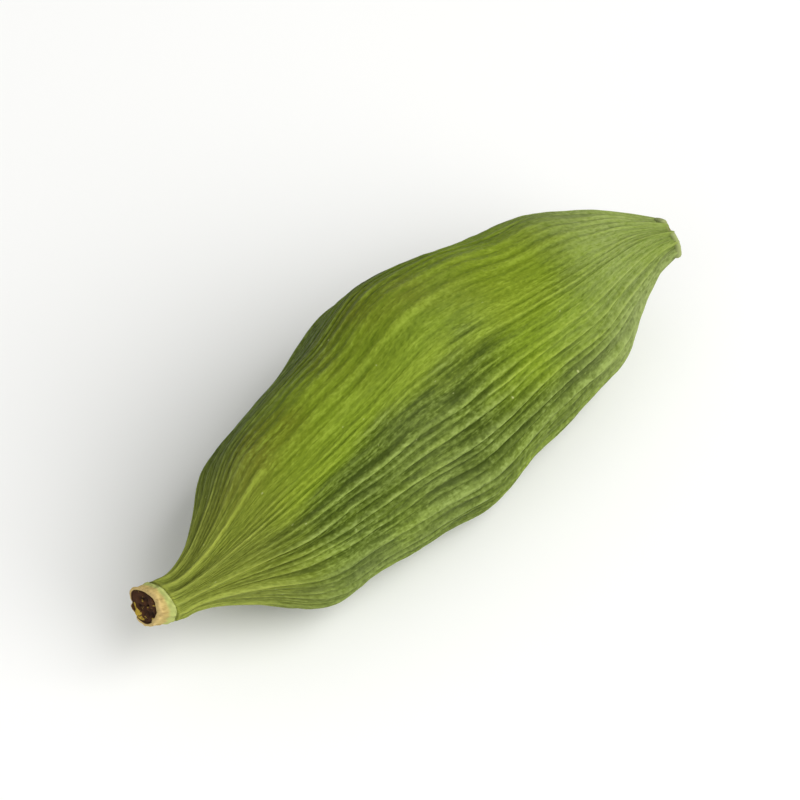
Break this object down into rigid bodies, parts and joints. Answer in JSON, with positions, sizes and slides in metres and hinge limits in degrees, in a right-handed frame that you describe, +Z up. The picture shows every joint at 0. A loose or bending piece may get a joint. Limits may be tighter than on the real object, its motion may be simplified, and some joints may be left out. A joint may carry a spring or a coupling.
{
  "type": "green cardamom pod",
  "caption": "Dried green cardamom pod: a closed, ribbed, spindle-shaped seed capsule with rounded lobes, a blunt tip and the stub of its cut stalk, lying on one side.",
  "frame": {"origin": "on the surface that the pod lies on, under the middle of the pod's length and width", "axes": "+X along the pod from the cut stalk to the tip, +Z up from the surface that the pod lies on"},
  "size_m": [0.021, 0.0077, 0.0072],
  "materials": {
    "husk": "dry fibrous plant husk, satin, yellow-green with paler rib crests",
    "stalk": "dry corky plant stalk, matt, tan with a dark brown pith"
  },
  "bodies": {
    "root": {"husk": "husk", "stalk": "stalk"}
  },
  "joints": []
}
